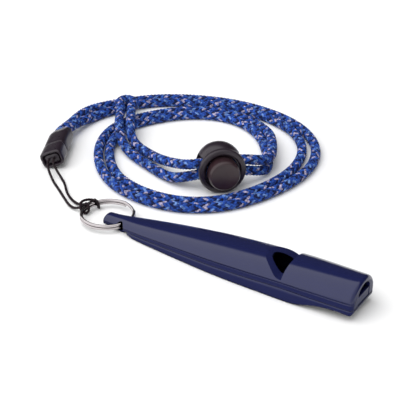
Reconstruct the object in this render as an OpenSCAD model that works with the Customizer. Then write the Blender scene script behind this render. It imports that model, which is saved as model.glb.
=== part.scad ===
// Pealess plastic whistle on a split ring, with a thin strap loop, a snap
// connector, a doubled braided lanyard and a sprung cord lock.
// Millimetres. +X runs from the tail to the mouth, +Z is up, and the whistle's
// flat underside and everything that lies on the table stand on z = 0.

/* [Whistle] */
// X of the mouth end
mouth_x = 41; // [39:0.1:43]
// Radius of the tone chamber
chamber_r = 2.7; // [2:0.1:3]
// Height of the windway slit at the window
slit_h = 1.05; // [0.6:0.05:1.6]
// Radius of the hole for the split ring
ring_hole_r = 1.5; // [1.4:0.05:1.6]

/* [Split ring] */
// Radius of the wire's centreline
ring_r = 7.8; // [7:0.1:9]
// Wire diameter
wire_d = 0.9; // [0.7:0.05:1.2]

/* [Cords] */
// Diameter of the braided cord
braid_d = 3.3; // [3:0.1:3.5]
// Diameter of the thin strap loop
strap_d = 0.85; // [0.6:0.05:1.1]

/* [Connector] */
// Width of the housing
housing_w = 7.8; // [7.7:0.1:9]
// Height of the housing
housing_h = 5.8; // [5.2:0.1:6]

/* [Cord lock] */
// Radius of the ball body
ball_r = 7.3; // [7:0.1:8]
// Radius of the front flange
flange_r = 7.45; // [7:0.05:8]
// Radius of the button
button_r = 4.9; // [4.5:0.1:5.2]
// Travel of the button
button_travel = 2.4; // [1.5:0.1:3]

/* [Show] */
// Node to draw, or all

/* [Hidden] */

navy = [0.12, 0.14, 0.36];
steel = [0.78, 0.78, 0.80];
black = [0.08, 0.07, 0.08];
blue = [0.10, 0.22, 0.65];

// The seam between the upper and lower mouldings.
knee_x = 24;
function seam(x) = x < knee_x ? 1.45 + (x + 33) * 0.043
                              : 3.901 - (x - knee_x) * 0.021;

// Upper moulding: x, half-width, bottom, height where the arch starts, top.
upper = [
  [-41.4, 1.5, 1.75, 2.0, 2.7],
  [-40.8, 2.2, 1.4, 1.95, 3.05],
  [-38.5, 2.6, 1.3, 2.0, 3.4],
  [-35.0, 3.0, 1.35, 2.2, 3.85],
  [-32.0, 3.6, seam(-32), 2.4, 4.1],
  [-26.0, 4.5, seam(-26), 2.9, 4.9],
  [-20.0, 5.2, seam(-20), 3.4, 5.6],
  [-10.0, 6.2, seam(-10), 4.1, 6.8],
  [0.0, 7.0, seam(0), 4.7, 7.75],
  [10.0, 7.3, seam(10), 5.2, 8.5],
  [24.0, 7.4, seam(24), 5.7, 9.3],
  [30.0, 7.2, seam(30), 5.7, 9.5],
  [36.0, 6.9, seam(36), 5.6, 9.7],
  [40.0, 6.6, seam(40), 5.4, 9.85],
  [mouth_x, 6.0, seam(mouth_x) + 0.05, 5.3, 9.3]
];

// Lower moulding: x, half-width, bottom, top.
lower = [
  [-32.2, 2.5, 0.4, seam(-32.2)],
  [-31.2, 3.4, 0.1, seam(-31.2)],
  [-29.5, 4.0, 0, seam(-29.5)],
  [-20.0, 5.2, 0, seam(-20)],
  [-10.0, 6.2, 0, seam(-10)],
  [0.0, 7.0, 0, seam(0)],
  [10.0, 7.3, 0, seam(10)],
  [23.0, 7.4, 0, seam(23)],
  [24.0, 7.4, 0.06, seam(24)],
  [26.0, 7.35, 0.5, seam(26)],
  [29.0, 7.25, 1.4, seam(29)],
  [32.0, 7.1, 1.95, seam(32)],
  [36.0, 6.9, 2.15, seam(36)],
  [40.0, 6.6, 1.8, seam(40)],
  [mouth_x, 6.0, 2.05, seam(mouth_x) - 0.05]
];

arch_steps = 12;
arch_a = [for (i = [0:arch_steps]) 180 * i / arch_steps];
function upper_ring(s) = concat(
  [[s[0], s[1], s[2]]],
  [for (a = arch_a) [s[0], s[1] * cos(a), s[3] + (s[4] - s[3]) * sin(a)]],
  [[s[0], -s[1], s[2]]]);
function lower_ring(s) = [
  [s[0], -s[1], s[3]],
  [s[0], -s[1], s[2] + 0.5],
  [s[0], -s[1] + 0.15, s[2] + 0.15],
  [s[0], -s[1] + 0.5, s[2]],
  [s[0], s[1] - 0.5, s[2]],
  [s[0], s[1] - 0.15, s[2] + 0.15],
  [s[0], s[1], s[2] + 0.5],
  [s[0], s[1], s[3]]];
function box_ring(s) = [
  [s[0], -s[1], s[2]], [s[0], s[1], s[2]],
  [s[0], s[1], s[3]], [s[0], -s[1], s[3]]];

// Skin a list of rings that run clockwise seen from their start.
module skin(rings) {
  n = len(rings[0]);
  m = len(rings);
  points = [for (r = rings) for (p = r) p];
  sides = [for (i = [0:m - 2]) for (j = [0:n - 1])
    [i * n + j, (i + 1) * n + j, (i + 1) * n + (j + 1) % n, i * n + (j + 1) % n]];
  first = [for (j = [0:n - 1]) j];
  last = [for (j = [0:n - 1]) (m - 1) * n + n - 1 - j];
  polyhedron(points, concat(sides, [first, last]), convexity = 10);
}

// Tone chamber: a slanted bore that opens on the window's ramp.
chamber_from = [-3.5, 0, 4.2];
chamber_tilt = 4;
chamber_len = 24.5;
// Window: the ramp and the wall that the windway comes out of.
window_x = 20.9;
ramp = [[12.8, 9.2], [15.6, 8.1], [19.2, 6.4], [window_x, 6.4],
        [window_x, 12], [12.8, 12]];
windway_hw = 2.8;
windway_top = 8.6;
arch_r = 4.5;

module chamber() {
  translate(chamber_from)
    rotate([0, 90 - chamber_tilt, 0])
      cylinder(r = chamber_r, h = chamber_len, $fn = 48);
}

module xz_plate(shape, half) {
  translate([0, half, 0])
    rotate([90, 0, 0])
      linear_extrude(height = 2 * half) polygon(shape);
}

module windway_tunnel() {
  translate([window_x - 0.01, 0, 0])
    rotate([90, 0, 90])
      linear_extrude(height = 22) {
        intersection() {
          translate([0, windway_top - arch_r]) circle(r = arch_r, $fn = 48);
          translate([-windway_hw, 4]) square([2 * windway_hw, 8]);
        }
        translate([-windway_hw, 2.5])
          square([2 * windway_hw, windway_top - arch_r + 1.7 - 2.5]);
      }
}

lug = [-34.6, 2.05];
module whistle_body() {
  color(navy)
  difference() {
    union() {
      skin([for (s = upper) upper_ring(s)]);
      // Boss round the ring's hole, below the shoulders of the tail.
      intersection() {
        translate([lug[0], 2.3, lug[1]])
          rotate([90, 0, 0]) cylinder(r = 2.0, h = 4.6, $fn = 48);
        translate([lug[0] - 3, -3, 0]) cube([6, 6, 2.4]);
      }
    }
    translate([lug[0], 5, lug[1]])
      rotate([90, 0, 0]) cylinder(r = ring_hole_r, h = 10, $fn = 48);
    chamber();
    xz_plate(ramp, 12);
    windway_tunnel();
    // Cored out behind the chamber to keep the walls even.
    skin([box_ring([-27, 2.2, 0, 3.5]), box_ring([-18, 3.0, 0, 4.5]),
          box_ring([-7, 3.8, 0, 5.6])]);
  }
}

module whistle_base() {
  color(navy)
  difference() {
    skin([for (s = lower) [for (i = [7:-1:0]) lower_ring(s)[i]]]);
    chamber();
    skin([box_ring([-27, 2.2, 0.9, 6]), box_ring([-18, 3.0, 0.9, 6]),
          box_ring([-7, 3.8, 0.9, 6])]);
  }
}

// The wedge that forms the windway's floor.
block_hw = 2.75;
module windway_block() {
  color(navy)
    xz_plate([[window_x, seam(window_x)], [knee_x, seam(knee_x)],
              [40.5, seam(40.5)], [40.5, 6.1],
              [window_x, windway_top - slit_h]], block_hw);
}

// Split ring: two turns of wire, one on the other.
ring_c = [-42.15, 1.1];
ring_z = 2.05;
coil_dz = wire_d * 0.96;
module split_ring() {
  color(steel)
  translate([ring_c[0], ring_c[1], ring_z])
    for (k = [-0.5, 0.5])
      translate([0, 0, k * coil_dz])
        rotate_extrude($fn = 96)
          translate([ring_r, 0]) circle(d = wire_d, $fn = 24);
}

// Sweep a tube of n sides along a list of points, without twist.
function unit(v) = v / norm(v);
function tangent(p, i) = unit(p[min(i + 1, len(p) - 1)] - p[max(i - 1, 0)]);
function across(u, t) = unit(u - (u * t) * t);
function carry(p, i = 0, u = [0, 0, 1], out = []) =
  i == len(p) ? out
  : let (v = across(u, tangent(p, i))) carry(p, i + 1, v, concat(out, [v]));
module tube(p, d, n, ups) {
  skin([for (i = [0:len(p) - 1])
    let (t = tangent(p, i), u = ups[i], w = cross(t, u))
    [for (k = [0:n - 1])
      let (a = -360 * (k + 0.5) / n)
      p[i] + d / 2 * (cos(a) * w + sin(a) * u)]]);
}

// Connector: local x runs from the braided cord's end to the thin loop's end.
con_at = [-87.8, 35, 0];
con_turn = -60;
con_roll = 20;
con_z = 3.5;
housing_len = 13.6;
function con(x, y, z) = let (v = y * cos(con_roll) - z * sin(con_roll))
  [con_at[0] + x * cos(con_turn) - v * sin(con_turn),
   con_at[1] + x * sin(con_turn) + v * cos(con_turn),
   con_z + y * sin(con_roll) + z * cos(con_roll)];

// Strap loop: from the plug round the ring in a lark's head, and back.
function rp(a, r, z) = [ring_c[0] + r * cos(a), ring_c[1] + r * sin(a), z];
strap_path = [
  con(18.5, -1.0, 0), con(23.2, -1.0, -0.3), [-70.6, 9.9, 0.5],
  [-61.4, 3.9, 0.5], rp(185, 12.4, 1.3), rp(184, 9.4, 3.1),
  rp(185, 7.8, 3.55), rp(187, 6.65, 2.95), rp(190, 6.65, 1.3),
  rp(193, 7.7, 0.5), rp(197, 9.0, 0.8), rp(195, 9.9, 2.6),
  rp(185, 10.3, 4.2), rp(168, 10.2, 4.1), rp(154, 9.9, 2.7),
  rp(148, 9.0, 0.8), rp(152, 7.7, 0.5), rp(156, 6.65, 1.3),
  rp(160, 6.65, 2.95), rp(163, 7.8, 3.55), rp(168, 9.4, 3.1),
  rp(173, 12.6, 1.3),
  [-62.6, 6.9, 0.5], [-69.7, 12.9, 0.5], con(23.2, 1.0, -0.3),
  con(18.5, 1.0, 0)
];
module strap_loop() {
  color(black) tube(strap_path, strap_d, 8, carry(strap_path, u = [0, 0, 1]));
}

// Rows of the doubled cord's middle line: x, y, z, half the gap across it and
// half the gap in height. The first strand is on the left of the way the rows
// run and above, the second on the right and below.
rows = [
  [-85.6, 31.2, 3.5, 1.6, -0.58], [-88.7, 36.6, 3.45, 1.6, -0.58],
  [-91.6, 46.5, 2.2, 1.95, -0.5], [-92.4, 56.5, 1.67, 2.9, 0],
  [-88.8, 66.5, 1.67, 2.4, 0], [-80.3, 78.0, 1.67, 1.8, 0],
  [-67.2, 86.2, 1.67, 1.8, 0], [-53.0, 90.2, 1.67, 1.8, 0],
  [-38.5, 89.8, 1.67, 1.8, 0], [-25.3, 85.2, 1.67, 1.9, 0],
  [-15.2, 76.2, 1.67, 2.2, 0], [-9.7, 64.5, 1.67, 2.3, 0],
  [-8.6, 52.0, 1.67, 2.0, 0], [-11.2, 39.0, 1.67, 1.8, 0],
  [-17.6, 26.4, 1.67, 1.8, 0], [-28.4, 18.5, 1.67, 1.8, 0],
  [-41.6, 16.9, 1.67, 1.8, 0], [-54.1, 20.4, 1.67, 1.8, 0],
  [-65.2, 29.0, 1.67, 1.8, 0], [-73.3, 40.6, 1.67, 1.8, 0],
  [-76.4, 53.0, 1.67, 1.8, 0], [-72.8, 64.5, 1.67, 1.8, 0],
  [-65.3, 74.5, 1.67, 1.8, 0], [-54.0, 80.8, 1.67, 1.8, 0],
  [-41.5, 80.2, 1.67, 1.75, 0], [-30.5, 73.3, 2.3, 1.5, 0.65],
  [-22.8, 63.3, 3.1, 0.9, 1.4], [-17.4, 52.0, 4.0, 0.2, 1.85],
  [-20.0, 43.5, 6.6, 0, 1.9], [-26.1, 37.4, 6.95, 0, 1.9],
  [-32.2, 31.3, 6.6, 0, 1.95],
  [-39.0, 31.4, 4.5, -0.9, 2.1], [-47.5, 34.3, 3.0, -1.4, 1.3],
  [-57.3, 38.7, 1.9, -2.2, 0.2], [-65.7, 42.8, 2.6, -1.9, 0],
  [-71.6, 48.6, 5.1, -1.85, 0], [-78.2, 58.0, 5.1, -1.85, 0],
  [-81.3, 62.4, 5.1, -2.05, 0]
];
fold_tip = [-84.8, 67.4, 5.1];
fold_sides = [[-81.0, 66.6, 5.1], [-85.3, 63.6, 5.1]];
function flat(v) = unit([v[0], v[1], 0]);
function heading(i) = flat(rows[min(i + 1, len(rows) - 1)] - rows[max(i - 1, 0)]);
function strand(i, s) = let (h = heading(i), r = rows[i])
  [r[0] - s * r[3] * h[1], r[1] + s * r[3] * h[0], r[2] + s * r[4]];
last_row = len(rows) - 1;
cord_path = concat(
  [for (i = [0:last_row]) strand(i, 1)],
  [fold_sides[0], fold_tip, fold_sides[1]],
  [for (i = [last_row:-1:0]) strand(i, -1)]);
module lanyard_cord() {
  color(blue) tube(cord_path, braid_d, 8, carry(cord_path));
}

module con_place() {
  translate([con_at[0], con_at[1], con_z]) rotate([con_roll, 0, con_turn])
    children();
}
// A slab with rounded corners, seen along x.
module slab(x, l, w, h, r) {
  translate([x, 0, 0])
    rotate([90, 0, 90])
      linear_extrude(height = l) {
        square([w, h - 2 * r], center = true);
        square([w - 2 * r, h], center = true);
        for (y = [-1, 1])
          for (v = [-1, 1])
            translate([y * (w / 2 - r), v * (h / 2 - r)])
              circle(r = r, $fn = 32);
      }
}

slot_w = 6.9;
module connector_housing() {
  color(black)
  con_place() difference() {
    union() {
      slab(0.8, housing_len - 0.8, housing_w, housing_h, 2.3);
      slab(0, 1.0, housing_w - 0.6, housing_h - 0.8, 2.0);
    }
    slab(-1, 6.2, slot_w, 3.5, 1.74);
    slab(5.0, 12, 6.1, 3.7, 0.9);
  }
}
module cord_crimp() {
  color(steel)
  con_place() difference() {
    slab(3.2, 1.6, slot_w - 0.02, 3.48, 1.73);
    slab(3.0, 2.0, 6.72, 3.32, 1.65);
  }
}
module connector_plug() {
  color(black)
  con_place() difference() {
    union() {
      slab(housing_len + 0.1, 6.8, 7.4, 5.4, 2.2);
      slab(housing_len + 6.8, 1.3, 6.0, 4.2, 1.8);
      slab(7.0, 8.0, 5.8, 3.3, 0.8);
    }
    for (y = [-1, 1])
      translate([17.5, y * 1.0, 0])
        rotate([0, 90, 0]) cylinder(d = strap_d + 0.15, h = 6, $fn = 24);
    // The slit that lets the two snap arms flex.
    translate([6, -0.5, -3]) cube([5.5, 1.0, 6]);
  }
}

// Cord lock: local z is the button's axis, pointing out at the viewer's side.
lock_at = [-26.1, 37.4, 7.45];
module lock_place() {
  translate(lock_at) rotate([90, 0, 45]) children();
}
ball_z = -0.6;
flange_front = 5.1;
flange_t = 1.8;
slot_hw = 1.85;
slot_hh = 3.9;
slot_y = -0.6;
bore_floor = -6.9;
module cord_slot(lo, hi, hh, half) {
  translate([-half, slot_y - hh, lo]) cube([2 * half, 2 * hh, hi - lo]);
}
module lock_body() {
  color(black)
  lock_place() difference() {
    union() {
      translate([0, 0, ball_z]) sphere(r = ball_r, $fn = 72);
      translate([0, 0, 0.5])
        cylinder(r = 6.4, h = flange_front - 1, $fn = 72);
      translate([0, 0, flange_front - flange_t])
        cylinder(r = flange_r, h = flange_t - 0.5, $fn = 72);
      translate([0, 0, flange_front - 0.5])
        cylinder(r1 = flange_r, r2 = flange_r - 0.5, h = 0.5, $fn = 72);
    }
    translate([0, 0, tail_z - button_travel - 0.1])
      cylinder(r = button_r + 0.06, h = 20, $fn = 72);
    translate([0, 0, bore_floor])
      cylinder(r = spring_r + 0.5, h = 5, $fn = 72);
    translate([0, 0, flange_front - 1.3])
      cylinder(r = 6.1, h = 3, $fn = 72);
    cord_slot(-slot_hw, slot_hw, slot_hh, 12);
    // The slot's two mouths are relieved where the cord bends away.
    for (x = [-10.2, 10.2])
      translate([x, 0, 0])
        cord_slot(-slot_hw - 0.5, slot_hw + 0.5, slot_hh + 0.5, 5);
  }
}
button_face = flange_front + 3.3;
tail_z = -3.0;
module lock_button() {
  color(black)
  lock_place() difference() {
    union() {
      translate([0, 0, tail_z])
        cylinder(r = button_r, h = button_face - 0.6 - tail_z, $fn = 72);
      translate([0, 0, button_face - 0.6])
        cylinder(r1 = button_r, r2 = button_r - 0.5, h = 0.6, $fn = 72);
    }
    cord_slot(-slot_hw, slot_hw + button_travel, slot_hh, 12);
  }
}
spring_wire = 0.4;
spring_r = 2.6;
spring_turns = 4;
spring_lo = bore_floor + 0.25;
spring_hi = tail_z - 0.25;
spring_path = [for (k = [0:spring_turns * 12])
  let (a = 30 * k, f = k / (spring_turns * 12))
  [spring_r * cos(a), spring_r * sin(a), spring_lo + f * (spring_hi - spring_lo)]];
module lock_spring() {
  color(steel)
  lock_place() tube(spring_path, spring_wire, 6, [for (p = spring_path) [0, 0, 1]]);
}

whistle_body();
whistle_base();
windway_block();
split_ring();
strap_loop();
connector_plug();
connector_housing();
cord_crimp();
lanyard_cord();
lock_body();
lock_button();
lock_spring();
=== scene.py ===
import math

import bmesh
import bpy
import numpy as np
from mathutils import Matrix, Vector


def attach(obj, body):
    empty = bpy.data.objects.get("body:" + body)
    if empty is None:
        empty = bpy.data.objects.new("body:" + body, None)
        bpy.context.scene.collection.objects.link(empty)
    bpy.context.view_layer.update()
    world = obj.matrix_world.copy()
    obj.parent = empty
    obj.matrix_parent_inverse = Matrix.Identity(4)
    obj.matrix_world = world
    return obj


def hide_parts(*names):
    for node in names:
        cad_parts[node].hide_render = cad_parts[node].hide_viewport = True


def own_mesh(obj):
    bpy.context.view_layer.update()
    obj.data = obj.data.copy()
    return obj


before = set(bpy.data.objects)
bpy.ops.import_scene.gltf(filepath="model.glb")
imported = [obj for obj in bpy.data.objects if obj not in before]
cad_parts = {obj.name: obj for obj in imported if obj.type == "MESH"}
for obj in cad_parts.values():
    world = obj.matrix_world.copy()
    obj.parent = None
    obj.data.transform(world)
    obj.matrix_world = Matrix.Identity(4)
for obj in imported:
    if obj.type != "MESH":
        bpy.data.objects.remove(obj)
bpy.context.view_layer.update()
scene = bpy.context.scene
MM = 0.001

# The whistle's tone chamber, in millimetres: its two ends, the height of its middle at the
# first end and its rise along the whistle, and half its width and height.
BORE_FROM, BORE_TO = -3.5, 20.95
BORE_Z, BORE_RISE = 4.2, 0.07
BORE_HALF_W, BORE_HALF_H = 3.9, 2.7

# ---- camera -------------------------------------------------------------
CAMERA_TILT, CAMERA_TURN = 61, 33.306
camera_data = bpy.data.cameras.new("camera")
camera_data.lens = 90
camera_data.sensor_width = 36
camera_data.clip_start = 0.01
camera = bpy.data.objects.new("camera", camera_data)
camera.location = (0.121707, -0.198542, 0.149224)
camera.rotation_euler = (math.radians(CAMERA_TILT), 0, math.radians(CAMERA_TURN))
scene.collection.objects.link(camera)
scene.camera = camera


# ---- shader helpers -----------------------------------------------------
def node(tree, kind, sockets=None, **settings):
    """A shader node with its settings, its sockets set or linked, and its first output."""
    made = tree.nodes.new("ShaderNode" + kind)
    for key, value in settings.items():
        setattr(made, key, value)
    for key, value in (sockets or {}).items():
        if isinstance(value, bpy.types.NodeSocket):
            tree.links.new(value, made.inputs[key])
        else:
            made.inputs[key].default_value = value
    return made.outputs[0]


def noise(tree, where, scale, detail=3.0):
    return node(tree, "TexNoise", {"Vector": where, "Scale": scale, "Detail": detail})


def maths(tree, operation, *values):
    return node(tree, "Math", dict(enumerate(values)), operation=operation)


def rising(tree, value, low, high):
    """0 at low and below, 1 at high and beyond it."""
    return node(tree, "MapRange", {"Value": value, "From Min": low, "From Max": high})


def between(tree, value, low, high):
    """Maps a value from 0..1 onto low..high."""
    return node(tree, "MapRange", {"Value": value, "To Min": low, "To Max": high})


def mixed(tree, factor, a, b, blend="MIX"):
    made = tree.nodes.new("ShaderNodeMix")
    made.data_type = "RGBA"
    made.blend_type = blend
    colours = [s for s in made.inputs if s.type == "RGBA"]
    for socket, value in zip([made.inputs[0]] + colours, (factor, a, b)):
        if isinstance(value, bpy.types.NodeSocket):
            tree.links.new(value, socket)
        else:
            socket.default_value = value
    return [s for s in made.outputs if s.type == "RGBA"][0]


def coordinate(tree, output):
    return tree.nodes.new("ShaderNodeTexCoord").outputs[output]


def parts_of(tree, vector):
    """The x, y and z of a vector socket."""
    split = tree.nodes.new("ShaderNodeSeparateXYZ")
    tree.links.new(vector, split.inputs[0])
    return split.outputs


def openness(tree, distance, low, high):
    """0 deep in a gap narrower than the distance, 1 in the open; used as the mask for painted shade."""
    occlusion = tree.nodes.new("ShaderNodeAmbientOcclusion")
    occlusion.samples = 12
    occlusion.inputs["Distance"].default_value = distance
    return rising(tree, occlusion.outputs["AO"], low, high)


def start(name):
    made = bpy.data.materials.new(name)
    made.use_nodes = True
    tree = made.node_tree
    return made, tree, tree.nodes["Principled BSDF"], coordinate(tree, "Object")


def outside_bore(tree, where):
    """0 inside the whistle's slanting tone chamber, up to its mouth, and 1 elsewhere: the mask where the
    chamber is painted black as shade.
    """
    margin = 0.05
    x, y, z = parts_of(tree, where)
    middle = (BORE_Z - BORE_FROM * BORE_RISE) * MM
    drop = maths(tree, "MULTIPLY_ADD", x, -BORE_RISE, -middle)
    height = maths(tree, "MULTIPLY", maths(tree, "ADD", z, drop), 1 / ((BORE_HALF_H + margin) * MM))
    across = maths(tree, "MULTIPLY", y, 1 / ((BORE_HALF_W + margin) * MM))
    square = maths(tree, "MULTIPLY", across, across)
    clear = rising(tree, maths(tree, "MULTIPLY_ADD", height, height, square), 1.03, 1.12)
    ahead = rising(tree, x, (BORE_TO - 0.15) * MM, (BORE_TO + 0.25) * MM)
    behind = rising(tree, x, (BORE_FROM + 0.1) * MM, (BORE_FROM - 0.1) * MM)
    return maths(tree, "MAXIMUM", clear, maths(tree, "MAXIMUM", ahead, behind))


def moulded(name, colour, dark, rough, grain, round_edge, hollow=0.0, wall=1.0):
    """Moulded plastic: faint mottling, uneven gloss, fine grain and softened cut edges.

    With a hollow distance, in metres, shade is painted in: the tone chamber is painted black, and gaps
    narrower than the distance are painted dark and lose their shine; upright walls keep only the wall share
    of the shine.
    """
    made, tree, bsdf, where = start(name)
    tint = mixed(tree, noise(tree, where, 260.0), colour, dark)
    if hollow:
        unshaded_share = openness(tree, hollow, 0.2, 0.54)
        unshaded_share = maths(tree, "MULTIPLY", unshaded_share, outside_bore(tree, where))
        # Painted shade: the tone chamber and narrow gaps are painted near black, and below they lose their
        # shine too.
        tint = mixed(tree, unshaded_share, (0.0006, 0.0007, 0.002, 1), tint)
        normal = tree.nodes.new("ShaderNodeNewGeometry").outputs["Normal"]
        level = 0.5
        facing_up = rising(tree, parts_of(tree, normal)[2], 0.08, 0.2)
        shine = maths(tree, "MULTIPLY", between(tree, facing_up, level * wall, level), unshaded_share)
        tree.links.new(shine, bsdf.inputs["Specular IOR Level"])
    tree.links.new(tint, bsdf.inputs["Base Color"])
    gloss = between(tree, noise(tree, where, 900.0), rough[0], rough[1])
    tree.links.new(gloss, bsdf.inputs["Roughness"])
    bump = {"Height": noise(tree, where, grain[0], 4.0), "Strength": grain[1], "Distance": 0.00004}
    bump["Normal"] = node(tree, "Bevel", {"Radius": round_edge}, samples=8)
    tree.links.new(node(tree, "Bump", bump), bsdf.inputs["Normal"])
    bsdf.inputs["IOR"].default_value = 1.5
    return made


def metal(name, colour, rough, scratch):
    """Plated or drawn steel with fine scratches, uneven gloss and painted shade in narrow gaps."""
    made, tree, bsdf, where = start(name)
    tint = mixed(tree, noise(tree, where, 500.0), colour, [c * 0.86 for c in colour[:3]] + [1])
    # Painted shade: narrow gaps, as between the wire's turns, are painted a dark brownish grey.
    gap = openness(tree, 0.0022, 0.38, 0.8)
    tree.links.new(mixed(tree, gap, (0.05, 0.035, 0.035, 1), tint), bsdf.inputs["Base Color"])
    bsdf.inputs["Metallic"].default_value = 1.0
    stretched = node(tree, "Mapping", {"Vector": where, "Scale": (600, 600, 5200)})
    lines = noise(tree, stretched, 1.0, 5.0)
    tree.links.new(between(tree, lines, rough[0], rough[1]), bsdf.inputs["Roughness"])
    relief = node(tree, "Bump", {"Height": lines, "Strength": scratch, "Distance": 0.00001})
    tree.links.new(relief, bsdf.inputs["Normal"])
    return made


def yarn(name, sheen, rough):
    """Braided yarn: the yarn's own colour, darker between its filaments, with filament relief."""
    made, tree, bsdf, where = start(name)
    colour = node(tree, "VertexColor", layer_name="yarn")
    along = node(tree, "Mapping", {"Vector": coordinate(tree, "UV"), "Scale": (1.6, 9.0, 1.0)})
    fibres = noise(tree, along, 1.0, 3.0)
    patches = between(tree, noise(tree, where, 1500.0, 2.0), -0.8, 1.8)
    shade = mixed(tree, between(tree, fibres, 0.0, 0.9), (0.25, 0.25, 0.3, 1), (1.5, 1.5, 1.45, 1))
    tone = mixed(tree, patches, (0.22, 0.25, 0.32, 1), (2.0, 1.9, 1.75, 1))
    tint = mixed(tree, 1.0, mixed(tree, 1.0, colour, shade, "MULTIPLY"), tone, "MULTIPLY")
    tree.links.new(tint, bsdf.inputs["Base Color"])
    tree.links.new(between(tree, fibres, rough[0], rough[1]), bsdf.inputs["Roughness"])
    bsdf.inputs["Sheen Weight"].default_value = sheen
    bsdf.inputs["Sheen Roughness"].default_value = 0.4
    bsdf.inputs["Specular IOR Level"].default_value = 0.22
    relief = node(tree, "Bump", {"Height": fibres, "Strength": 0.5, "Distance": 0.00008})
    tree.links.new(relief, bsdf.inputs["Normal"])
    return made


NAVY = moulded(
    "navy_moulding", colour=(0.0100, 0.0130, 0.062, 1), dark=(0.0085, 0.0110, 0.055, 1), rough=(0.10, 0.15),
    grain=(2200.0, 0.03), round_edge=0.00010, hollow=0.005, wall=0.16,
)
BLACK = moulded(
    "black_moulding", colour=(0.020, 0.0120, 0.0200, 1), dark=(0.013, 0.008, 0.014, 1), rough=(0.24, 0.34),
    grain=(5200.0, 0.10), round_edge=0.00018,
)
BUTTON = moulded(
    "black_button", colour=(0.034, 0.0160, 0.0190, 1), dark=(0.022, 0.011, 0.015, 1), rough=(0.26, 0.36),
    grain=(5200.0, 0.10), round_edge=0.00018,
)
STEEL = metal("nickel_ring", (0.56, 0.52, 0.53, 1), (0.06, 0.14), 0.10)
WIRE = metal("drawn_wire", (0.50, 0.50, 0.52, 1), (0.22, 0.38), 0.25)
BRAID = yarn("braid_yarn", 0.03, (0.48, 0.70))
FINE = yarn("strap_yarn", 0.0, (0.55, 0.75))


# ---- mesh helpers -------------------------------------------------------
def mesh_piece(name, verts, faces, material):
    data = bpy.data.meshes.new(name)
    data.from_pydata([tuple(v) for v in verts], [], faces)
    data.polygons.foreach_set("use_smooth", [True] * len(data.polygons))
    data.materials.append(material)
    made = bpy.data.objects.new(name, data)
    scene.collection.objects.link(made)
    return made


def tidy_normals(piece, angle=32):
    """Outward normals, and sharp edges where faces meet at more than the angle."""
    b = bmesh.new()
    b.from_mesh(piece.data)
    bmesh.ops.remove_doubles(b, verts=b.verts, dist=1e-7)
    bmesh.ops.recalc_face_normals(b, faces=b.faces)
    for e in b.edges:
        e.smooth = len(e.link_faces) == 2 and e.calc_face_angle(0) < math.radians(angle)
    for f in b.faces:
        f.smooth = True
    b.to_mesh(piece.data)
    b.free()
    return piece


def tube_faces(rows, sides):
    """The faces between rings of points, with both ends closed."""
    faces = []
    for i in range(rows - 1):
        for j in range(sides):
            k = (j + 1) % sides
            a, b = i * sides, (i + 1) * sides
            faces.append((a + j, b + j, b + k, a + k))
    last = rows * sides - 1
    return faces + [tuple(range(sides)), tuple(range(last, last - sides, -1))]


def skin(name, rings, material, matrix=None):
    """A closed skin over rings that all have the same number of points, in millimetres."""
    verts = [Vector(p) * MM for r in rings for p in r]
    if matrix is not None:
        verts = [matrix @ v for v in verts]
    return tidy_normals(mesh_piece(name, verts, tube_faces(len(rings), len(rings[0])), material))


def lathe(name, profile, material, matrix, steps=112):
    """Turns a profile of (radius, height) in millimetres, from axis to axis, about local z."""
    inner = profile[1:-1]
    verts = [(0, 0, profile[0][1]), (0, 0, profile[-1][1])]
    for k in range(steps):
        a = 2 * math.pi * k / steps
        verts += [(r * math.cos(a), r * math.sin(a), z) for r, z in inner]
    m = len(inner)
    faces = []
    for k in range(steps):
        a, b = 2 + k * m, 2 + (k + 1) % steps * m
        faces += [(0, a, b), (1, b + m - 1, a + m - 1)]
        faces += [(a + i, a + i + 1, b + i + 1, b + i) for i in range(m - 1)]
    return tidy_normals(mesh_piece(name, [matrix @ (Vector(v) * MM) for v in verts], faces, material))


def rounded(corners, steps=6):
    """A polyline whose corners (x, y, radius) are replaced by arcs."""
    out = []
    for i, (x, y, r) in enumerate(corners):
        if r == 0 or i in (0, len(corners) - 1):
            out.append((x, y))
            continue
        p = Vector((x, y))
        a = (Vector(corners[i - 1][:2]) - p).normalized()
        b = (Vector(corners[i + 1][:2]) - p).normalized()
        half = a.angle(b) / 2
        cut = r / math.tan(half)
        centre = p + (a + b).normalized() * (r / math.sin(half))
        s, e = p + a * cut - centre, p + b * cut - centre
        turn = s.angle_signed(e)
        for k in range(steps + 1):
            v = s.copy()
            v.rotate(Matrix.Rotation(-turn * k / steps, 2))
            out.append(tuple(centre + v))
    return out


def superellipse(half_w, half_h, power, n=20):
    """An oval of n points: power 2 is an ellipse, and a higher power is squarer."""
    out = []
    for k in range(n):
        a = 2 * math.pi * (k + 0.5) / n
        c, s = math.cos(a), math.sin(a)
        x = half_w * math.copysign(abs(c) ** (2 / power), c)
        y = half_h * math.copysign(abs(s) ** (2 / power), s)
        out.append((x, y))
    return out


def cut(piece, cutters, operation="DIFFERENCE", angle=32):
    """Applies boolean cutters to a piece and removes them."""
    for c in cutters:
        m = piece.modifiers.new("cut", "BOOLEAN")
        m.object = c
        m.operation = operation
        m.solver = "EXACT"
    result = bpy.data.meshes.new_from_object(
        piece.evaluated_get(bpy.context.evaluated_depsgraph_get())
    )
    piece.modifiers.clear()
    piece.data = result
    for c in cutters:
        bpy.data.objects.remove(c)
    return tidy_normals(piece, angle)


def ready(piece, body, slot, *nodes):
    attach(piece, body)
    if nodes:
        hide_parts(*nodes)
    return piece


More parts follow.
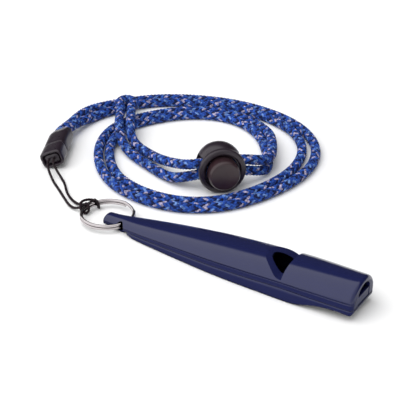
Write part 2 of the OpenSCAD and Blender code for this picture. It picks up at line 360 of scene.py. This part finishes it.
# ---- curves -------------------------------------------------------------
def natural_spline(points, step):
    """A smooth curve through the points, by chord length, resampled to an even step."""
    p = np.array(points, float)
    h = np.sqrt(np.linalg.norm(np.diff(p, axis=0), axis=1))
    t = np.concatenate([[0], np.cumsum(h)])
    n = len(p)
    a = np.zeros((n, n))
    rhs = np.zeros((n, 3))
    a[0, 0] = a[-1, -1] = 1
    for i in range(1, n - 1):
        a[i, i - 1 : i + 2] = h[i - 1], 2 * (h[i - 1] + h[i]), h[i]
        rhs[i] = 6 * ((p[i + 1] - p[i]) / h[i] - (p[i] - p[i - 1]) / h[i - 1])
    m = np.linalg.solve(a, rhs)
    fine = []
    for i in range(n - 1):
        s = np.linspace(0, h[i], 60, endpoint=i == n - 2)[:, None]
        fine.append(
            m[i] * (h[i] - s) ** 3 / (6 * h[i])
            + m[i + 1] * s**3 / (6 * h[i])
            + (p[i] / h[i] - m[i] * h[i] / 6) * (h[i] - s)
            + (p[i + 1] / h[i] - m[i + 1] * h[i] / 6) * s
        )
    fine = np.concatenate(fine)
    d = np.concatenate([[0], np.cumsum(np.linalg.norm(np.diff(fine, axis=0), axis=1))])
    s = np.linspace(0, d[-1], max(2, round(d[-1] / step)) + 1)
    return np.stack([np.interp(s, d, fine[:, k]) for k in range(3)], 1), d[-1]


def frames(path):
    """Tangents and untwisted side vectors along a path."""
    t = np.gradient(path, axis=0)
    t /= np.linalg.norm(t, axis=1)[:, None]
    u = np.zeros_like(t)
    v = np.array([0.0, 0.0, 1.0])
    for i in range(len(t)):
        v = v - v.dot(t[i]) * t[i]
        v /= np.linalg.norm(v)
        u[i] = v
    return t, u, np.cross(t, u)


def sweep(name, path, section, material):
    """Sweeps a closed section (side, up) in millimetres along a path in metres."""
    t, u, w = frames(path)
    verts = [
        Vector(p) + Vector(b) * (x * MM) + Vector(a) * (y * MM)
        for p, a, b in zip(path, u, w)
        for x, y in section
    ]
    faces = tube_faces(len(path), len(section))
    return tidy_normals(mesh_piece(name, verts, faces, material), 50)


def braid(name, path, diameter, carriers, pitch, colours, core_colour, material):
    """A hollow two-over, two-under braid of flat yarns on a core, along a path in metres."""
    t, u, w = frames(path)
    length = np.linalg.norm(np.diff(path, axis=0), axis=1).sum()
    s = np.linspace(0, length, len(path))
    lift_size = 0.045 * diameter
    dome = 0.07 * diameter
    cover = 0.52
    flatness = 1.7
    dome_power = 2.4
    middle = diameter / 2 - lift_size - dome
    angle = math.atan(2 * math.pi * middle / pitch)
    half_width = cover * 2 * math.pi * (middle + lift_size) / carriers * math.cos(angle)
    across = np.array([-1.0, -0.62, 0.0, 0.62, 1.0])
    verts, faces, shades, uvs = [], [], [], []
    rows = len(path)
    count = 0
    for way in (1, -1):
        for k in range(carriers):
            phi = 2 * math.pi * (k / carriers + way * s / pitch)
            crossing = 2 * carriers * s / pitch
            lift = way * np.cos(2 * math.pi * (2 * k + way * crossing - 0.5) / 4)
            r = middle + lift_size * np.tanh(flatness * lift) / math.tanh(flatness)
            out = np.cos(phi)[:, None] * u + np.sin(phi)[:, None] * w
            round_it = -np.sin(phi)[:, None] * u + np.cos(phi)[:, None] * w
            run = t + (way * 2 * math.pi * r / pitch)[:, None] * round_it
            run /= np.linalg.norm(run, axis=1)[:, None]
            side = np.cross(out, run)
            for a in across:
                height = dome * (1 - abs(a) ** dome_power) - (a * half_width) ** 2 / (2 * middle)
                verts.append(path + out * (r + height)[:, None] + side * (a * half_width))
            i = np.arange(rows - 1)
            for j in range(len(across) - 1):
                a = count + j * rows
                faces.append(np.stack([a + i, a + i + 1, a + rows + i + 1, a + rows + i], 1))
            count += rows * len(across)
            colour = colours[0 if way == 1 else 1][k]
            shades.append(np.tile(np.array([*colour, 1.0]), (rows * len(across), 1)))
            along = np.tile(s / MM / math.cos(angle) + 37.0 * k + 500 * way, len(across))
            uvs.append(np.stack([along, np.repeat(across + 3.0 * k, rows)], 1))
    # The core under the yarns, closed at both ends.
    sides = 14
    ring = [2 * math.pi * j / sides for j in range(sides)]
    core = middle - lift_size * 0.6
    keep = np.arange(0, len(path), 3)
    keep[-1] = len(path) - 1
    for a in ring:
        verts.append(path[keep] + (math.cos(a) * u + math.sin(a) * w)[keep] * core)
    rows = len(keep)
    for j in range(sides):
        a, b = count + j * rows, count + (j + 1) % sides * rows
        i = np.arange(rows - 1)
        faces.append(np.stack([a + i, b + i, b + i + 1, a + i + 1], 1))
    shades.append(np.tile(np.array([*core_colour, 1.0]), (rows * sides, 1)))
    uvs.append(np.zeros((rows * sides, 2)))
    all_faces = [tuple(f) for f in np.concatenate(faces).tolist()]
    all_faces.append(tuple(count + j * rows for j in range(sides)))
    all_faces.append(tuple(count + j * rows + rows - 1 for j in reversed(range(sides))))
    flat = np.concatenate(verts)
    made = mesh_piece(name, flat.tolist(), all_faces, material)
    data = made.data
    attribute = data.color_attributes.new("yarn", "FLOAT_COLOR", "POINT")
    attribute.data.foreach_set("color", np.concatenate(shades).astype(np.float32).ravel())
    corner = np.zeros(len(data.loops), np.int32)
    data.loops.foreach_get("vertex_index", corner)
    layer = data.uv_layers.new(name="along")
    layer.data.foreach_set("uv", np.concatenate(uvs)[corner].astype(np.float32).ravel())
    data.validate()
    return made


# ---- connector, ring and cord routes ------------------------------------
CON_AT = Vector((-0.0878, 0.035, 0.0035))
CON = (
    Matrix.Translation(CON_AT)
    @ Matrix.Rotation(math.radians(-60), 4, "Z")
    @ Matrix.Rotation(math.radians(20), 4, "X")
)
RING_AT = Vector((-0.04215, 0.0011, 0.00205))


def con(x, y, z):
    """A point given in the connector's own axes, in millimetres."""
    return tuple(CON @ (Vector((x, y, z)) * MM) / MM)


def rp(angle, radius, z):
    """A point at an angle and radius round the split ring, in millimetres."""
    a = math.radians(angle)
    return (RING_AT.x / MM + radius * math.cos(a), RING_AT.y / MM + radius * math.sin(a), z)


# Rows of the doubled cord's middle line: x, y, z, half the gap across and half the gap up.
ROWS = [
    [-85.6, 31.2, 3.5, 1.45, -0.5], [-88.7, 36.6, 3.45, 1.5, -0.55],
    [-91.6, 46.5, 2.2, 1.95, -0.5], [-92.4, 56.5, 1.67, 2.9, 0],
    [-88.8, 66.5, 1.67, 2.4, 0], [-80.3, 78.0, 1.67, 1.8, 0],
    [-67.2, 86.2, 1.67, 1.8, 0], [-53.0, 90.2, 1.67, 1.8, 0],
    [-38.5, 89.8, 1.67, 1.8, 0], [-25.3, 85.2, 1.67, 1.9, 0],
    [-15.2, 76.2, 1.67, 2.2, 0], [-9.7, 64.5, 1.67, 2.3, 0],
    [-8.6, 52.0, 1.67, 2.0, 0], [-11.2, 39.0, 1.67, 1.8, 0],
    [-17.6, 26.4, 1.67, 1.8, 0], [-28.4, 18.5, 1.67, 1.8, 0],
    [-41.6, 16.9, 1.67, 1.8, 0], [-54.1, 20.4, 1.67, 1.8, 0],
    [-65.2, 29.0, 1.67, 1.8, 0], [-73.3, 40.6, 1.67, 1.8, 0],
    [-76.4, 53.0, 1.67, 1.8, 0], [-72.8, 64.5, 1.67, 1.8, 0],
    [-65.3, 74.5, 1.67, 1.8, 0], [-54.0, 80.8, 1.67, 1.8, 0],
    [-41.5, 80.2, 1.67, 1.75, 0], [-30.5, 73.3, 2.3, 1.5, 0.65],
    [-22.8, 63.3, 3.1, 0.9, 1.4], [-17.4, 52.0, 4.0, 0.2, 1.85],
    [-20.0, 43.5, 6.6, 0, 1.9], [-26.1, 37.4, 6.95, 0, 1.9],
    [-32.2, 31.3, 6.6, 0, 1.95],
    [-39.0, 31.4, 4.5, -0.9, 2.1], [-47.5, 34.3, 3.0, -1.4, 1.3],
    [-57.3, 38.7, 1.9, -2.2, 0.2], [-65.7, 42.8, 2.6, -1.9, 0],
    [-71.6, 48.6, 5.1, -1.85, 0], [-78.2, 58.0, 5.1, -1.85, 0],
    [-81.3, 62.4, 5.1, -2.05, 0],
]
FOLD = [(-81.0, 66.6, 5.1), (-84.8, 67.4, 5.1), (-85.3, 63.6, 5.1)]


def strand(i, way):
    """The point of one strand of the doubled cord at row i: way is 1 or -1."""
    a, b = ROWS[max(i - 1, 0)], ROWS[min(i + 1, len(ROWS) - 1)]
    hx, hy = b[0] - a[0], b[1] - a[1]
    size = math.hypot(hx, hy)
    x, y, z, gap, rise = ROWS[i]
    return (x - way * gap * hy / size, y + way * gap * hx / size, z + way * rise)


order = range(len(ROWS))
cord_points = [strand(i, 1) for i in order] + FOLD + [strand(i, -1) for i in reversed(order)]
BRAID_D = 3.3 * MM
cord_line, cord_length = natural_spline(np.array(cord_points) * MM, 0.32 * MM)
cord_line[:, 2] = np.maximum(cord_line[:, 2], BRAID_D / 2 + 0.00001)

SKY = (0.105, 0.205, 0.50)
ROYAL = (0.018, 0.075, 0.38)
BLUE = (0.011, 0.046, 0.27)
INK = (0.003, 0.009, 0.065)
PALE = (0.33, 0.31, 0.47)
braid_colours = (
    [PALE, BLUE, ROYAL, INK, BLUE, SKY, ROYAL, BLUE, INK, ROYAL],
    [BLUE, INK, ROYAL, BLUE, SKY, INK, ROYAL, PALE, INK, ROYAL],
)
CORE = (0.003, 0.005, 0.025)
lanyard = braid("lanyard", cord_line, BRAID_D, 10, 13 * MM, braid_colours, CORE, BRAID)
ready(lanyard, "lanyard", "braid_blue", "lanyard_cord")

STRAP_D = 0.85 * MM
strap_points = [
    con(18.5, -1.0, 0), con(23.2, -1.0, -0.3), (-70.6, 9.9, 0.5),
    (-61.4, 3.9, 0.5), rp(184, 12.2, 0.9), rp(181, 8.95, 2.25),
    rp(182, 7.8, 3.42), rp(184, 6.85, 2.8), rp(186, 6.85, 1.2),
    rp(188, 7.8, 0.5), rp(190, 8.8, 0.9), rp(189, 9.2, 2.0),
    rp(184, 9.75, 3.05), rp(167, 9.75, 3.05), rp(151, 9.2, 2.0),
    rp(148, 8.8, 0.9), rp(149, 7.8, 0.5), rp(151, 6.85, 1.2),
    rp(154, 6.85, 2.8), rp(158, 7.8, 3.42), rp(164, 8.95, 2.3),
    rp(172, 12.4, 0.9),
    (-62.6, 6.9, 0.5), (-69.7, 12.9, 0.5), con(23.2, 1.0, -0.3),
    con(18.5, 1.0, 0),
]
strap_line, strap_length = natural_spline(np.array(strap_points) * MM, 0.16 * MM)
strap_line[:, 2] = np.maximum(strap_line[:, 2], STRAP_D / 2 + 0.00001)
SOOT = (0.017, 0.009, 0.013)
COAL = (0.010, 0.005, 0.008)
strap = braid("strap", strap_line, STRAP_D, 4, 3.2 * MM, ([SOOT, COAL] * 2, [COAL, SOOT] * 2), COAL, FINE)
ready(strap, "strap", "strap_black", "strap_loop")


# ---- whistle ------------------------------------------------------------
KNEE = 24.0


def seam(x):
    return 1.45 + (x + 33) * 0.043 if x < KNEE else 3.901 - (x - KNEE) * 0.021


# Stations along the whistle: x, half-width, bottom, start of the arch, top.
UPPER = [
    [-41.4, 2.5, 0.95, 1.6, 3.35], [-38.5, 2.65, 1.0, 1.7, 3.5],
    [-35.0, 3.0, 1.15, 1.9, 3.85], [-32.0, 3.6, seam(-32), 2.1, 4.15],
    [-26.0, 4.5, seam(-26), 2.55, 4.9], [-20.0, 5.2, seam(-20), 3.0, 5.65],
    [-10.0, 6.2, seam(-10), 3.65, 6.8], [0.0, 7.0, seam(0), 4.2, 7.75],
    [10.0, 7.3, seam(10), 4.7, 8.5], [24.0, 7.4, seam(24), 5.2, 9.3],
    [30.0, 7.2, seam(30), 5.2, 9.5], [36.0, 6.9, seam(36), 5.1, 9.7],
    [41.0, 6.55, seam(41), 5.0, 9.9],
]
# The same for the lower moulding: x, half-width, bottom, top.
LOWER = [
    [-32.2, 3.3, 0.35, seam(-32.2)], [-29.5, 4.0, 0.0, seam(-29.5)],
    [-20.0, 5.2, 0.0, seam(-20)], [-10.0, 6.2, 0.0, seam(-10)],
    [0.0, 7.0, 0.0, seam(0)], [10.0, 7.3, 0.0, seam(10)],
    [23.0, 7.4, 0.0, seam(23)], [26.0, 7.38, 0.45, seam(26)],
    [29.0, 7.28, 1.3, seam(29)], [32.0, 7.12, 1.9, seam(32)],
    [36.0, 6.9, 2.15, seam(36)], [41.0, 6.55, 1.75, seam(41)],
]


def smooth_table(table, xs):
    """Monotone cubic interpolation of every column."""
    p = np.array(table, float)
    x, y = p[:, 0], p[:, 1:]
    h = np.diff(x)[:, None]
    d = np.diff(y, axis=0) / h
    m = np.zeros_like(y)
    m[0], m[-1] = d[0], d[-1]
    w1, w2 = 2 * h[1:] + h[:-1], h[1:] + 2 * h[:-1]
    same = d[1:] * d[:-1] > 0
    safe = np.where(same, w1 / np.where(same, d[:-1], 1) + w2 / np.where(same, d[1:], 1), 1)
    m[1:-1] = np.where(same, (w1 + w2) / safe, 0)
    rows = []
    for v in xs:
        i = int(np.clip(np.searchsorted(x, v) - 1, 0, len(x) - 2))
        t = (v - x[i]) / h[i, 0]
        rows.append([v, *(
            y[i] * (1 + 2 * t) * (1 - t) ** 2 + m[i] * h[i, 0] * t * (1 - t) ** 2
            + y[i + 1] * t * t * (3 - 2 * t) + m[i + 1] * h[i, 0] * t * t * (t - 1)
        )])
    return rows


def stations(low, high, low_round, high_round, step=0.8):
    """x and inset pairs: close together where an end is rounded off."""
    out = []
    steps = 8
    for k in range(steps + 1):
        a = math.pi / 2 * k / steps
        out.append((low + low_round * (1 - math.cos(a)), low_round * (1 - math.sin(a))))
    n = max(2, round((high - high_round - low - low_round) / step))
    for k in range(1, n):
        out.append((low + low_round + k * (high - high_round - low - low_round) / n, 0.0))
    for k in range(steps + 1):
        a = math.pi / 2 * k / steps
        out.append((high - high_round * (1 - math.sin(a)), high_round * (1 - math.cos(a))))
    return out


# The softened edge along the seam, and how far the tail, the keel's tail and the mouth round off.
EDGE = 0.25
TAIL_ROUND, KEEL_ROUND, MOUTH_ROUND = 0.65, 0.5, 1.2
MOUTH = 41.0


def upper_ring(row, inset, lift_floor):
    """The upper moulding's outline: seam edge, upright wall, a fine groove, then the arch."""
    x, w, low, spring, top = row
    w, top = w - inset, top - inset
    low = low + (inset if lift_floor else 0)
    spring = min(spring, top - 0.3)
    rise = (top - spring) * math.sin(math.radians(8))
    depth = 0.3 * min(1, rise / 0.5)
    half = [(w - EDGE * 1.4, low), (w - EDGE * 0.35, low + EDGE * 0.3), (w, low + EDGE * 1.2)]
    half += [(w, spring + 0.1 * rise), (w - depth, spring + 0.4 * rise), (w - depth, spring + 0.65 * rise)]
    arc = [
        (w * math.cos(math.radians(a)), spring + (top - spring) * math.sin(math.radians(a)))
        for a in (8, *range(12, 169, 4), 172)
    ]
    outline = half + arc + [(-y, z) for y, z in reversed(half)]
    return [(x, y, z) for y, z in outline]


def lower_ring(row, inset):
    x, w, low, top = row
    w, low = w - inset, low + inset
    r = 0.55
    half = [(w - EDGE * 1.4, top), (w - EDGE * 0.35, top - EDGE * 0.3), (w, top - EDGE * 1.2)]
    half += [(w, top - EDGE * 1.2 + (low + r - top + EDGE * 1.2) * f) for f in (0.33, 0.66)]
    half += [
        (w - r * (1 - math.cos(math.radians(a))), low + r * (1 - math.sin(math.radians(a))))
        for a in range(0, 91, 15)
    ]
    return [(x, y, z) for y, z in half] + [(x, -y, z) for y, z in reversed(half)]


upper_at = stations(UPPER[0][0], MOUTH, TAIL_ROUND, MOUTH_ROUND)
upper_rows = smooth_table(UPPER, [x for x, _ in upper_at])
whistle = skin(
    "whistle_shell",
    [upper_ring(r, inset, r[0] < 0) for r, (_, inset) in zip(upper_rows, upper_at)],
    NAVY,
)
lower_at = stations(LOWER[0][0], MOUTH, KEEL_ROUND, MOUTH_ROUND)
lower_rows = smooth_table(LOWER, [x for x, _ in lower_at])
base = skin(
    "whistle_keel",
    [lower_ring(r, inset) for r, (_, inset) in zip(lower_rows, lower_at)],
    NAVY,
)


def prism_x(name, shape, low, high):
    """A prism along the whistle from a y, z outline."""
    return skin(name, [[(x, y, z) for y, z in shape] for x in (low, high)], NAVY)


def rod(start, end, radius, sides=72):
    a, b = Vector(start) * MM, Vector(end) * MM
    t = (b - a).normalized()
    u = t.orthogonal().normalized()
    w = t.cross(u)
    ring = [2 * math.pi * k / sides for k in range(sides)]
    rows = [[(p + (math.cos(v) * u + math.sin(v) * w) * radius * MM) / MM for v in ring] for p in (a, b)]
    return skin("cutter", rows, NAVY)


def chamber():
    """The tone chamber: a slanting bore, wider than it is high, that opens on the ramp."""
    outline = superellipse(BORE_HALF_W, BORE_HALF_H, 2.0, 72)
    ends = [(x, BORE_Z + (x - BORE_FROM) * BORE_RISE) for x in (BORE_FROM, BORE_TO)]
    return skin("cutter", [[(x, y, z + middle) for y, z in outline] for x, middle in ends], NAVY)


LUG = (-34.6, 2.05)
LUG_TOP, LUG_HOLE_R = 2.4, 1.4
# Outline of the window's ramp: x and z. It falls away on the far side by this share of y.
RAMP = [
    (12.2, 8.9), (13.5, 8.55), (15.0, 8.2), (16.4, 7.75), (17.5, 7.25), (18.5, 6.7),
    (19.2, 6.35), (19.9, 6.2), (20.9, 6.2), (20.9, 13), (12.2, 13),
]
RAMP_FALL = 0.16
# The ramp meets the shoulder at a shallow angle, and its edge stays sharp.
RAMP_EDGE_ANGLE = 13
TUNNEL_FROM = 20.89
TUNNEL_TOP, TUNNEL_R, TUNNEL_HALF = 8.75, 3.9, 3.3
arch_z = TUNNEL_TOP - TUNNEL_R
reach = math.degrees(math.acos(TUNNEL_HALF / TUNNEL_R))
tunnel = [(TUNNEL_HALF, 2.0)] + [
    (TUNNEL_R * math.cos(math.radians(a)), arch_z + TUNNEL_R * math.sin(math.radians(a)))
    for a in np.linspace(reach, 180 - reach, 25)
] + [(-TUNNEL_HALF, 2.0)]

lug_turns = np.linspace(0, 2 * math.pi, 64, endpoint=False)
lug = skin("lug", [
    [(LUG[0] + r * math.cos(a), y, LUG[1] + r * math.sin(a)) for a in lug_turns]
    for y, r in ((-2.3, 1.8), (-2.2, 1.96), (-2.0, 2.0), (2.0, 2.0), (2.2, 1.96), (2.3, 1.8))
], NAVY)
cut(lug, [prism_x("cutter", [(-3, LUG_TOP), (3, LUG_TOP), (3, 5), (-3, 5)], -38, -31)])
cut(whistle, [lug], "UNION")
cut(whistle, [
    rod((LUG[0], -6, LUG[1]), (LUG[0], 6, LUG[1]), LUG_HOLE_R),
    chamber(),
    skin("cutter", [[(x, y, z - max(y, 0) * RAMP_FALL) for x, z in RAMP] for y in (-12, 0, 12)], NAVY),
    prism_x("cutter", tunnel, TUNNEL_FROM, 43),
], angle=RAMP_EDGE_ANGLE)
cut(base, [chamber()])
ready(whistle, "whistle", "navy_plastic", "whistle_body")
ready(base, "whistle", "navy_plastic", "whistle_base")

# The windway's floor: a wedge let into the mouth end, with a hairline gap round it.
INSERT_GAP, INSERT_HALF, INSERT_END = 0.02, 3.27, 40.9
insert_side = [
    (BORE_TO, seam(21) + INSERT_GAP), (KNEE, seam(KNEE) + INSERT_GAP),
    (INSERT_END, seam(INSERT_END) + INSERT_GAP), (INSERT_END, 5.95), (BORE_TO, 7.3),
]
insert_rings = [[(x, y, z) for x, z in insert_side] for y in (-INSERT_HALF, INSERT_HALF)]
block = skin("windway_insert", insert_rings, NAVY)
bevel = block.modifiers.new("bevel", "BEVEL")
bevel.width = 0.1 * MM
bevel.segments = 3
ready(block, "whistle", "navy_plastic", "windway_block")

# ---- split ring: one wire wound into two turns --------------------------
RING_R, WIRE_D = 7.8, 0.9
RING_START = 62
# The wire's ends stop short of two whole turns, and one turn steps up to the other here.
END_GAP, STEP_FROM, STEP_OVER = 22, 330, 60
RING_POINTS = 280
ring_line = []
for k in range(RING_POINTS + 1):
    degrees = END_GAP + (720 - 2 * END_GAP) * k / RING_POINTS
    f = min(max((degrees - STEP_FROM) / STEP_OVER, 0), 1)
    z = (-0.5 + f * f * (3 - 2 * f)) * WIRE_D * 0.96
    a = math.radians(RING_START + degrees)
    ring_line.append(tuple(RING_AT + Vector((RING_R * math.cos(a), RING_R * math.sin(a), z)) * MM))

ring = sweep("split_ring_wire", np.array(ring_line), superellipse(0.455, 0.43, 2.0), STEEL)
ready(ring, "ring", "ring_steel", "split_ring")


# ---- snap connector -----------------------------------------------------
CON_SHIFT, CON_SCALE = 1.1, (0.88, 0.93, 0.95)


def oval(x, half_w, half_h, dy=0.0, power=4.2, n=72):
    """A section of the connector at x, scaled from the CAD's size to the smaller shape drawn here."""
    x = CON_SHIFT + CON_SCALE[0] * x
    return [(x, dy + CON_SCALE[1] * y, CON_SCALE[2] * z) for y, z in superellipse(half_w, half_h, power, n)]


# Sections from end to end, in CAD millimetres: x, half-width, half-height and sideways shift.
SHELL = [
    (1.4, 2.9, 1.75, 0.3), (0.25, 3.05, 1.85, 0.35), (0.02, 3.25, 2.0, 0.35),
    (0.0, 3.4, 2.15, 0.35), (0.12, 3.52, 2.28, 0.33), (0.4, 3.58, 2.36, 0.31),
    (1.4, 3.64, 2.5, 0.22), (2.6, 3.74, 2.72, 0.1), (3.6, 3.84, 2.86, 0.03),
    (4.6, 3.88, 2.9), (7.0, 3.88, 2.9), (10.0, 3.89, 2.9),
    (13.1, 3.9, 2.9), (13.38, 3.87, 2.87), (13.52, 3.78, 2.78),
    (13.58, 3.6, 2.6), (13.5, 3.2, 2.1), (12.6, 3.05, 1.95),
]
CUP = [
    (7.2, 2.4, 1.3), (7.0, 2.7, 1.5), (7.3, 2.85, 1.62), (13.2, 2.88, 1.64),
    (13.68, 2.9, 1.7), (13.7, 3.6, 2.6), (13.76, 3.78, 2.78), (13.9, 3.87, 2.87),
    (14.2, 3.9, 2.9), (17.0, 3.93, 2.92), (20.6, 3.98, 2.96), (21.2, 3.95, 2.93),
    (21.58, 3.85, 2.83), (21.78, 3.66, 2.64), (21.8, 3.45, 2.43), (21.7, 3.22, 2.2),
    (21.4, 3.08, 2.06), (20.6, 3.0, 1.98), (20.1, 2.95, 1.93), (20.0, 2.8, 1.8),
    (20.1, 2.66, 1.68), (20.7, 2.6, 1.62), (21.0, 2.45, 1.5), (21.2, 2.05, 1.2),
    (21.3, 1.4, 0.75), (21.32, 0.7, 0.3),
]
housing = skin("connector_shell", [oval(*row) for row in SHELL], BLACK, CON)
ready(housing, "lanyard", "fitting_black", "connector_housing")
plug = skin("connector_cup", [oval(*row) for row in CUP], BLACK, CON)
ready(plug, "strap", "fitting_black", "connector_plug")

# ---- cord lock ----------------------------------------------------------
LOCK_AT = Vector((-0.0261, 0.0374, 0.00745))
LOCK = (
    Matrix.Translation(LOCK_AT)
    @ Matrix.Rotation(math.radians(45), 4, "Z")
    @ Matrix.Rotation(math.radians(90), 4, "X")
)
BALL_Z, BALL_R = -0.6, 7.3
# Where the ball's outline ends, in radians from its back: the flange begins there.
BALL_TO = 2.06
TRAVEL = 2.4
ball = [(BALL_R * math.sin(a), BALL_Z - BALL_R * math.cos(a), 0) for a in np.linspace(0, BALL_TO, 34)]
lock_profile = rounded(
    ball
    + [
        (6.42, 3.3, 0.18), (7.45, 3.3, 0.3), (7.45, 5.1, 0.7), (5.75, 5.1, 0.3), (5.75, 3.9, 0.2),
        (4.99, 3.9, 0.15), (4.99, -5.5, 0.1), (3.1, -5.5, 0), (3.1, -6.9, 0), (0, -6.9, 0),
    ]
)
lock_body = lathe("lock_ball", lock_profile, BLACK, LOCK)
button_profile = rounded(
    [(0, -3.0, 0), (4.9, -3.0, 0.2), (4.9, 7.75, 0.3), (4.4, 8.4, 0.2), (2.5, 8.36, 0), (0, 8.28, 0)]
)
button = lathe("lock_plunger", button_profile, BUTTON, LOCK)


def slot_cutter(low, high, bottom, top, reach_from, reach_to):
    """A round-cornered box through the lock along the cord, in the lock's own axes."""
    c = [(bottom, low), (bottom, high), (top, high), (top, low)]
    middle = ((bottom + top) / 2, low, 0)
    outline = rounded([middle] + [(y, z, SLOT_CORNER) for y, z in c] + [middle], 5)[:-1]
    return skin("cutter", [[(x, y, z) for y, z in outline] for x in (reach_from, reach_to)], BLACK, LOCK)


# The slots through the ball, flared where the cords leave it, and through the plunger, which
# is longer by the plunger's travel.
SLOT = (-1.85, 1.85, -4.5, 3.3)
FLARE = (-2.35, 2.35, -5.0, 3.8)
BUTTON_SLOT = (-2.1, 2.2 + TRAVEL, -4.8, 3.6)
SLOT_CORNER = 0.5
THROUGH, FLARE_FROM = 12, 5.2
cut(lock_body, [
    slot_cutter(*SLOT, -THROUGH, THROUGH),
    slot_cutter(*FLARE, -THROUGH, -FLARE_FROM),
    slot_cutter(*FLARE, FLARE_FROM, THROUGH),
])
cut(button, [slot_cutter(*BUTTON_SLOT, -THROUGH, THROUGH)])
ready(lock_body, "cord_lock", "fitting_black", "lock_body")
ready(button, "button", "fitting_black", "lock_button")

COIL_R, COIL_LOW, COIL_HIGH, COIL_WIRE_R = 2.6, -6.65, -3.25, 0.2
COIL_TURNS, COIL_STEPS = 4, 24
coil_points = COIL_TURNS * COIL_STEPS
coil_line = []
for k in range(coil_points + 1):
    a = 2 * math.pi * k / COIL_STEPS
    z = COIL_LOW + (COIL_HIGH - COIL_LOW) * k / coil_points
    coil_line.append(tuple(LOCK @ (Vector((COIL_R * math.cos(a), COIL_R * math.sin(a), z)) * MM)))
spring = sweep("lock_coil", np.array(coil_line), superellipse(COIL_WIRE_R, COIL_WIRE_R, 2, 10), WIRE)
ready(spring, "cord_lock", "spring_steel", "lock_spring")
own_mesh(spring)

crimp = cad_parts["cord_crimp"]
crimp.data.materials.clear()
crimp.data.materials.append(WIRE)


# ---- floor and light ----------------------------------------------------
paper, tree, bsdf, where = start("floor_paper")
whiteness = mixed(tree, noise(tree, where, 90.0), (0.93, 0.93, 0.93, 1), (0.91, 0.91, 0.91, 1))
tree.links.new(whiteness, bsdf.inputs["Base Color"])
bsdf.inputs["Roughness"].default_value = 0.8
bsdf.inputs["Specular IOR Level"].default_value = 0.1
floor = mesh_piece("floor", [(-3, -3, 0), (3, -3, 0), (3, 3, 0), (-3, 3, 0)], [(0, 1, 2, 3)], paper)

world = bpy.data.worlds.new("studio")
scene.world = world
world.use_nodes = True
tree = world.node_tree
background = tree.nodes["Background"]
# The sky is a wide softbox behind a tilted edge, and it is dimmer toward +X.
SOFTBOX_TILT, SOFTBOX_EDGE, SHADE, GLOW = 0.6, 0.06, 0.05, 1.45
sky_x, sky_y, sky_z = parts_of(tree, coordinate(tree, "Generated"))
edge = maths(tree, "SUBTRACT", maths(tree, "MULTIPLY", sky_z, SOFTBOX_TILT), sky_y)
mask = node(tree, "MapRange", {
    "Value": edge, "From Min": -SOFTBOX_EDGE, "From Max": SOFTBOX_EDGE, "To Min": SHADE, "To Max": GLOW,
}, interpolation_type="SMOOTHSTEP")
fade = node(tree, "MapRange", {
    "Value": sky_x, "From Min": 0.0, "From Max": 0.6, "To Min": 1.0, "To Max": 0.5,
})
tree.links.new(maths(tree, "MULTIPLY", mask, fade), background.inputs["Strength"])
background.inputs["Color"].default_value = (1.0, 1.0, 1.0, 1)

lamp_data = bpy.data.lights.new("overhead_left", "AREA")
lamp_data.size = 1.0
lamp_data.energy = 5.5
lamp = bpy.data.objects.new("overhead_left", lamp_data)
LAMP_AT, LAMP_TARGET = Vector((-0.2, -0.45, 0.95)), Vector((-0.02, 0.035, 0.0))
lamp.location = LAMP_AT
lamp.rotation_euler = (LAMP_TARGET - LAMP_AT).to_track_quat("-Z", "Y").to_euler()
lamp.visible_glossy = False
scene.collection.objects.link(lamp)
scene.view_settings.view_transform = "Standard"
